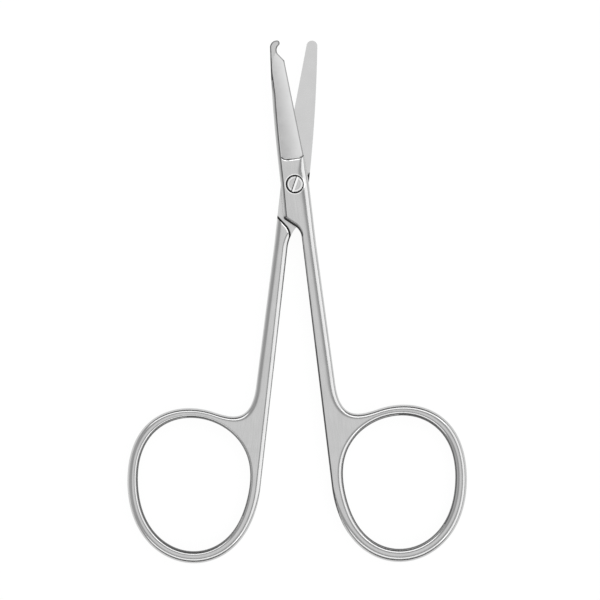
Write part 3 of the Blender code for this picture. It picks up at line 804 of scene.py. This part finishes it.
def finish(piece, place):
    """Set a piece down where it belongs and shade it: smooth, with creases where it is cut.

    An edge between two finishes is a crease too, unless one of them is a flank with painted shade.
    """
    mesh = piece.data
    mesh.transform(place)
    mesh.shade_smooth()
    mesh.set_sharp_from_angle(angle=CREASE)
    finishes = {}
    for polygon in mesh.polygons:
        for key in polygon.edge_keys:
            finishes.setdefault(key, set()).add(polygon.material_index)
    flank = mesh.materials.find("painted_shade_flank")
    for edge in mesh.edges:
        if len(finishes[edge.key] - {flank}) > 1:
            edge.use_edge_sharp = True
    weighted = piece.modifiers.new("even_shading", "WEIGHTED_NORMAL")
    weighted.keep_sharp = True


class TurnedBack:
    """A place as the shader sees it, with a turn taken back: x lies across a piece, y along it."""

    def __init__(self, nodes, turn):
        place = nodes.node("TexCoord", output="Object")
        straight = nodes.node("Mapping", None, {"Vector": place, "Rotation": (0.0, 0.0, -turn)})
        self.vector = straight
        self.x = nodes.node("SeparateXYZ", None, {0: straight}, output="X")
        self.y = nodes.node("SeparateXYZ", None, {0: straight}, output="Y")


def grade(nodes, value, start, end, low, high):
    """A value that runs from low to high while another runs from start to end."""
    return nodes.node("MapRange", {"interpolation_type": "SMOOTHSTEP"},
                      {"Value": value, "From Min": start, "From Max": end, "To Min": low, "To Max": high})


def steel(nodes, grey, roughness, grain, streaks):
    """Bare steel: a grey that its grain breaks up, with clouds from handling."""
    strength, relief = streaks
    lines = nodes.node("TexNoise", None, {"Vector": grain, "Scale": 1.0, "Detail": 3.0, "Roughness": 0.6})
    place = nodes.node("TexCoord", output="Object")
    clouds = nodes.node("TexNoise", None, {"Vector": place, "Scale": CLOUDS_TO_A_METRE, "Detail": 2.0})
    shade = grey * (1 + (lines - 0.5) * strength + (clouds - 0.5) * CLOUD_STRENGTH)
    colour = nodes.node("CombineColor", None, {0: shade, 1: shade, 2: shade})
    rough = roughness + (lines - 0.5) * ROUGHNESS_SWING
    bump = nodes.node("Bump", None, {"Strength": relief, "Distance": GRAIN_DEPTH, "Height": lines})
    shader = nodes.node("BsdfPrincipled", None, {"Base Color": colour, "Metallic": 1.0,
                                                 "Roughness": rough, "Normal": bump})
    nodes.node("OutputMaterial", None, {"Surface": shader})


def grain_of(nodes, half, grain):
    """Where the noise of a grain is read: the place on a half, drawn out across it and along it."""
    across, along = grain
    return nodes.node("VectorMath", {"operation": "MULTIPLY"}, {0: half.vector, 1: (across, along, across)})


def satin_steel(name, turn):
    """Brushed along the shank. Round the screw a ring of it is painted near white: a painted highlight."""
    material = bpy.data.materials.new(name)
    nodes = Nodes(material)
    half = TurnedBack(nodes, turn)
    flat = nodes.node("VectorMath", {"operation": "MULTIPLY"}, {0: half.vector, 1: (1.0, 1.0, 0.0)})
    radius = nodes.node("VectorMath", {"operation": "LENGTH"}, {0: flat}, output="Value")
    # Painted highlight: a ring round the screw's seat painted near white.
    highlight_share = grade(nodes, radius, HIGHLIGHT_RING_TO, HIGHLIGHT_RING_TO + HIGHLIGHT_FADE, 1.0, 0.0)
    grey = SATIN_GREY + highlight_share * (PAINTED_HIGHLIGHT_GREY - SATIN_GREY)
    steel(nodes, grey, SATIN_ROUGHNESS, grain_of(nodes, half, SATIN_GRAIN), SATIN_STREAKS)
    return material


def ground_steel(name, turn, side, edges):
    """Ground across the blade, finer than the eye sees, with painted shade in a dark line along its cutting
    edges.

    The side is 1 for the half as drawn, and -1 for the one that is turned over.
    """
    material = bpy.data.materials.new(name)
    nodes = Nodes(material)
    half = TurnedBack(nodes, turn)
    grey = GROUND_GREY
    # Painted shade: darker towards each cutting edge.
    for edge in edges:
        inside = from_edge(half.x * side, half.y, edge)
        grey = grey * grade(nodes, inside, EDGE_SHADE_FROM, EDGE_SHADE_TO, EDGE_SHADE_SHARE, 1.0)
    steel(nodes, grey, GROUND_ROUGHNESS, grain_of(nodes, half, GROUND_GRAIN), FINE_STREAKS)
    return material


def milled_steel(name, turn, side, shadows):
    """The milled inner face, with painted shade in the corner under the step and in painted shadows.

    The side is -1 for the half as drawn, since its inner face is seen from below, and 1 for the
    other. A painted shadow is a place on it, its half width and its half length.
    """
    material = bpy.data.materials.new(name)
    nodes = Nodes(material)
    half = TurnedBack(nodes, turn)
    _, fillet = lap_end(-SHANK_CLEARANCE / 2, STEP_CLEARANCE, HOOKED_LAP_FILLET)
    x = half.x * side - fillet[-1][0] + HOOKED_LAP_FILLET
    y = half.y - fillet[-1][1]
    above = x * math.sin(LAP_END_SLOPE) + y * math.cos(LAP_END_SLOPE)
    along = x * math.cos(LAP_END_SLOPE) - y * math.sin(LAP_END_SLOPE)
    round_fillet = along.reckon("MAXIMUM", along, 0.0)
    from_centre = above.reckon("SQRT", above * above + round_fillet * round_fillet)
    # Painted shade: darker near the corner under the step.
    unshaded = grade(nodes, from_centre - HOOKED_LAP_FILLET, CORNER_SHADE_FROM, CORNER_SHADE_TO, SHADE_SHARE, 1.0)
    # Painted shadows: darker in each patch.
    for (shadow_x, shadow_y), half_width, half_length in shadows:
        across = (half.x - shadow_x) / half_width
        down = (half.y - shadow_y) / half_length
        unshaded = unshaded * grade(nodes, across * across + down * down, SHADOW_CORE, 1.0, SHADE_SHARE, 1.0)
    steel(nodes, unshaded * MILLED_GREY, MILLED_ROUGHNESS, grain_of(nodes, half, MILLED_GRAIN), FINE_STREAKS)
    return material


def plain_finish(name, grey, roughness, metallic):
    """A finish of one grey, without grain."""
    material = bpy.data.materials.new(name)
    nodes = Nodes(material)
    shader = nodes.node("BsdfPrincipled", None, {"Base Color": (grey, grey, grey, 1.0),
                                                 "Roughness": roughness, "Metallic": metallic})
    nodes.node("OutputMaterial", None, {"Surface": shader})
    return material


def head_hole_cutter(name, metal):
    """The seat of the screw's head and the hole of its stem, through the hooked half."""
    face = JOINT_THICKNESS / 2
    head = HEAD_DIAMETER / 2 + HEAD_GAP
    stem = STEM_DIAMETER / 2 + STEM_GAP
    floor = face - HEAD_HEIGHT - SEAT_GAP
    return turned(name, [(0, face + BEYOND), (head + HOLE_CHAMFER + BEYOND, face + BEYOND),
                         (head, face - HOLE_CHAMFER), (head, floor), (stem, floor),
                         (stem, -face), (0, -face)], BORE_STEPS, metal)


nose = [point[:2] for point in hooked_nose()]
hooked_edge = ((HOOKED_FLARE_EDGE, FLARE_TOP), nose[0])
hooked_ground = ground_steel("hooked_ground", HOOKED_TURN, 1, [hooked_edge, (nose[0], nose[FILLET_STEPS])])
# Painted shade: a nearly black seat round the screw head.
painted_shade_seat = plain_finish("painted_shade_seat", SEAT_SHADE_GREY, SEAT_SHADE_ROUGHNESS, 0.0)
# Painted shade on steep flanks and on the wall round the grind.
flank_shade = plain_finish("painted_shade_flank", FLANK_SHADE_GREY, FLANK_ROUGHNESS, 1.0)
# Painted highlight: a near-white finish for the bevelled rims of the step and the grind.
painted_highlight_rim = plain_finish("painted_highlight_rim", PAINTED_HIGHLIGHT_GREY, MILLED_ROUGHNESS, 1.0)
hooked_ring = Ring(RING_DROP, HOOKED_RING_BAND, HOOKED_HOLE_ROUND_AT_WEB)
hooked_handle = handle_outline(hooked_ring, HOOKED_LAP_FILLET, HOOKED_INNER_ROUND, HOOKED_SHANK_ROUND,
                               HOOKED_LAP_ROUND)
inner_side = [point[:2] for point in hooked_handle]
slant = [(-LAP_WIDTH_SPINE_SIDE, -LAP_END)] + inner_side[:SLANT_FLANK_STEPS]
ring_starts = FILLET_STEPS + SIDE_STEPS
blade = hooked_blade()
back = [point[:2] for point in blade[-SIDE_STEPS - 2 * FILLET_STEPS:]]
shaded_runs = (runs(slant, BLADE_FLANK, BLADE_FLANK)
              + runs(inner_side[SLANT_FLANK_STEPS - 1:FILLET_STEPS + 1], BLADE_FLANK, FILLET_FLANK)
              + runs(inner_side[FILLET_STEPS:ring_starts + 1], FILLET_FLANK, INNER_FLANK)
              + runs(inner_side[ring_starts:ring_starts + RING_BLEND_STEPS], INNER_FLANK, 0.0)
              + runs(nose, BLADE_FLANK, BLADE_FLANK)
              + runs(back[:LEDGE_BLEND_STEPS + 1], TIP_FLANK, BLADE_FLANK)
              + runs(back[LEDGE_BLEND_STEPS:-FILLET_STEPS + 1], BLADE_FLANK, BLADE_FLANK))
hooked = forging("hooked_half_satin", hooked_handle, blade, hooked_ring, shaded_runs,
                 (satin_steel("hooked_satin", HOOKED_TURN), flank_shade))
hooked_milled = milled_steel("hooked_milled", HOOKED_TURN, -1, [])
cut(hooked, [recess_cutter("hooked_recess", PLAIN_LAP_FILLET, hooked_milled, painted_highlight_rim),
             grind_cutter("hooked_grind", hooked_edge, HOOKED_LAP_SPINE,
                          (hooked_ground, flank_shade, painted_highlight_rim)),
             head_hole_cutter("head_hole", painted_shade_seat)])
finish(hooked, Matrix.Translation((0, 0, JOINT_THICKNESS / 2)) @ Matrix.Rotation(HOOKED_TURN, 4, "Z"))
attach(hooked, "hooked")
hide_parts("hooked_half")

# Plain half: the same forging turned over, with a straight blade and a blunt round tip. Its
# flat inner face shows between the blades. The screw's stem sits in it.
PLAIN_TURN = math.radians(-6.45)
PLAIN_RING_LOWER = 0.25 * MM
PLAIN_RING_BAND = 1.82 * MM
PLAIN_HOLE_ROUND_AT_WEB = 0.5 * MM
PLAIN_LAP_SPINE = 2.3 * MM
PLAIN_SPINE_BOW = 0.75 * MM
PLAIN_FLARE_EDGE = 1.9 * MM
PLAIN_TIP_RADIUS = 0.92 * MM
PLAIN_TIP_EDGE = 0.7 * MM
PLAIN_SHANK_ROUND = (1.35 * MM, 0.95 * MM, 2.8)
PLAIN_INNER_ROUND = (0.9 * MM, 0.55 * MM, 1.4)
# Painted shadow in the gap where the other half's lap crosses this one's edge: a place, its half width and
# its half length.
PLAIN_GAP_SHADOWS = [((2.2 * MM, 1.05 * MM), 0.3 * MM, 1.35 * MM)]


def plain_blade():
    """Cutting edge, round blunt tip and spine."""
    tip_edge = (PLAIN_TIP_EDGE, BLADE_LENGTH - PLAIN_TIP_RADIUS)
    tip_centre = (tip_edge[0] - PLAIN_TIP_RADIUS, tip_edge[1])
    tip_spine = (tip_centre[0] - PLAIN_TIP_RADIUS, tip_edge[1])
    return (edge_flare(PLAIN_FLARE_EDGE, PLAIN_SHANK_ROUND)
            + edged(line((PLAIN_FLARE_EDGE, FLARE_TOP), tip_edge, SIDE_STEPS), EDGE_ROUND)
            + edged(arc(tip_centre, PLAIN_TIP_RADIUS, 0.0, math.pi, SIDE_STEPS), NOSE_ROUND)
            + spine(tip_spine, PLAIN_LAP_SPINE, PLAIN_SPINE_BOW, PLAIN_LAP_FILLET))


def stem_hole_cutter(name, metal):
    """The hole that takes the stem, through the plain half."""
    stem = STEM_DIAMETER / 2 + STEM_GAP
    return turned(name, [(0, JOINT_THICKNESS), (stem, JOINT_THICKNESS), (stem, -JOINT_THICKNESS),
                         (0, -JOINT_THICKNESS)], BORE_STEPS, metal)


plain_edge = ((PLAIN_FLARE_EDGE, FLARE_TOP), (PLAIN_TIP_EDGE, BLADE_LENGTH - PLAIN_TIP_RADIUS))
plain_ground = ground_steel("plain_ground", PLAIN_TURN, -1, [plain_edge])
plain_ring = Ring(RING_DROP + PLAIN_RING_LOWER, PLAIN_RING_BAND, PLAIN_HOLE_ROUND_AT_WEB)
plain_handle = handle_outline(plain_ring, PLAIN_LAP_FILLET, PLAIN_INNER_ROUND, PLAIN_SHANK_ROUND,
                              PLAIN_SHANK_ROUND)
plain = forging("plain_half_satin", plain_handle, plain_blade(), plain_ring, [],
                (satin_steel("plain_satin", PLAIN_TURN), flank_shade))
plain_milled = milled_steel("plain_milled", PLAIN_TURN, 1, PLAIN_GAP_SHADOWS)
cut(plain, [recess_cutter("plain_recess", HOOKED_LAP_FILLET, plain_milled, painted_highlight_rim),
            grind_cutter("plain_grind", plain_edge, PLAIN_LAP_SPINE, (plain_ground, flank_shade, painted_highlight_rim)),
            stem_hole_cutter("stem_hole", plain_ground)])
finish(plain, Matrix.Translation((0, 0, JOINT_THICKNESS / 2)) @ Matrix.Rotation(PLAIN_TURN, 4, "Z")
       @ Matrix.Rotation(math.pi, 4, "Y"))
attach(plain, "plain")
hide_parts("plain_half")

# Pivot screw: turned from bar, with a low head that sits in the hooked half and a sawn slot.
# Its face keeps the rings that the lathe left.
HEAD_ROUND = 0.12 * MM
HEAD_DOME = 0.05 * MM
DOME_BEND_OUT = 0.6
DOME_BEND_DOWN = 0.3
HEAD_STEPS = 128
SLOT_WIDTH = 0.5 * MM
SLOT_DEPTH = 0.4 * MM
SLOT_TURN = math.radians(-19.0)
# Painted shade along one wall of the slot: where it starts and ends across the slot.
SLOT_SHADE_FROM = -0.14 * MM
SLOT_SHADE_TO = -0.06 * MM
TURNED_GREY = 0.6
TURNED_ROUGHNESS = 0.22
TURNED_STREAKS = (1.7, 0.3)
NO_STREAKS = (0.0, 0.0)
SLOT_ROUGHNESS = 0.12
RINGS_TO_A_METRE = 5500.0
# Painted highlight on the head's rounded rim, from this radius outwards.
HEAD_HIGHLIGHT_FROM = 1.0 * MM


def turned_face(name):
    """A lathe's rings round the axis, and a painted highlight on the rim."""
    material = bpy.data.materials.new(name)
    nodes = Nodes(material)
    place = nodes.node("TexCoord", output="Object")
    flat = nodes.node("VectorMath", {"operation": "MULTIPLY"}, {0: place, 1: (1.0, 1.0, 0.0)})
    radius = nodes.node("VectorMath", {"operation": "LENGTH"}, {0: flat}, output="Value")
    grain = nodes.node("CombineXYZ", None, {0: radius * RINGS_TO_A_METRE})
    # Painted highlight round the head's rim.
    highlight_share = grade(nodes, radius, HEAD_HIGHLIGHT_FROM, HEAD_HIGHLIGHT_FROM + HIGHLIGHT_FADE, 0.0, 1.0)
    grey = TURNED_GREY + highlight_share * (PAINTED_HIGHLIGHT_GREY - TURNED_GREY)
    steel(nodes, grey, TURNED_ROUGHNESS, grain, TURNED_STREAKS)
    return material


def slot_painted_light(name):
    """A saw cut, painted near white as a highlight, but for painted shade along one wall."""
    material = bpy.data.materials.new(name)
    nodes = Nodes(material)
    place = TurnedBack(nodes, SLOT_TURN)
    # Painted shade along one wall; the rest has the painted highlight grey.
    unshaded = grade(nodes, place.x, SLOT_SHADE_FROM, SLOT_SHADE_TO, SHADE_SHARE, 1.0)
    steel(nodes, unshaded * PAINTED_HIGHLIGHT_GREY, SLOT_ROUGHNESS, place.vector, NO_STREAKS)
    return material


head = HEAD_DIAMETER / 2
stem = STEM_DIAMETER / 2
top = JOINT_THICKNESS / 2
dome = [(0, top), (DOME_BEND_OUT * head, top - DOME_BEND_DOWN * HEAD_DOME)]
head_edge = arc((head - HEAD_ROUND, top - HEAD_DOME - HEAD_ROUND), HEAD_ROUND, math.pi / 2, 0.0, FILLET_STEPS)
shaft = [(head, top - HEAD_HEIGHT), (stem, top - HEAD_HEIGHT), (stem, -top), (0, -top)]
screw = turned("pivot_screw_turned", dome + head_edge + shaft, HEAD_STEPS, turned_face("turned_steel"))
half_slot = SLOT_WIDTH / 2
slot = block("slot", [(-half_slot, -HEAD_DIAMETER), (half_slot, -HEAD_DIAMETER),
                      (half_slot, HEAD_DIAMETER), (-half_slot, HEAD_DIAMETER)],
             [(top - SLOT_DEPTH, 0.0), (top + BEYOND, 0.0)], slot_painted_light("slot_with_painted_light"))
slot.data.transform(Matrix.Rotation(SLOT_TURN, 4, "Z"))
cut(screw, [slot])
finish(screw, Matrix.Translation((0, 0, JOINT_THICKNESS / 2)))
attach(screw, "plain")
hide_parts("pivot_screw")
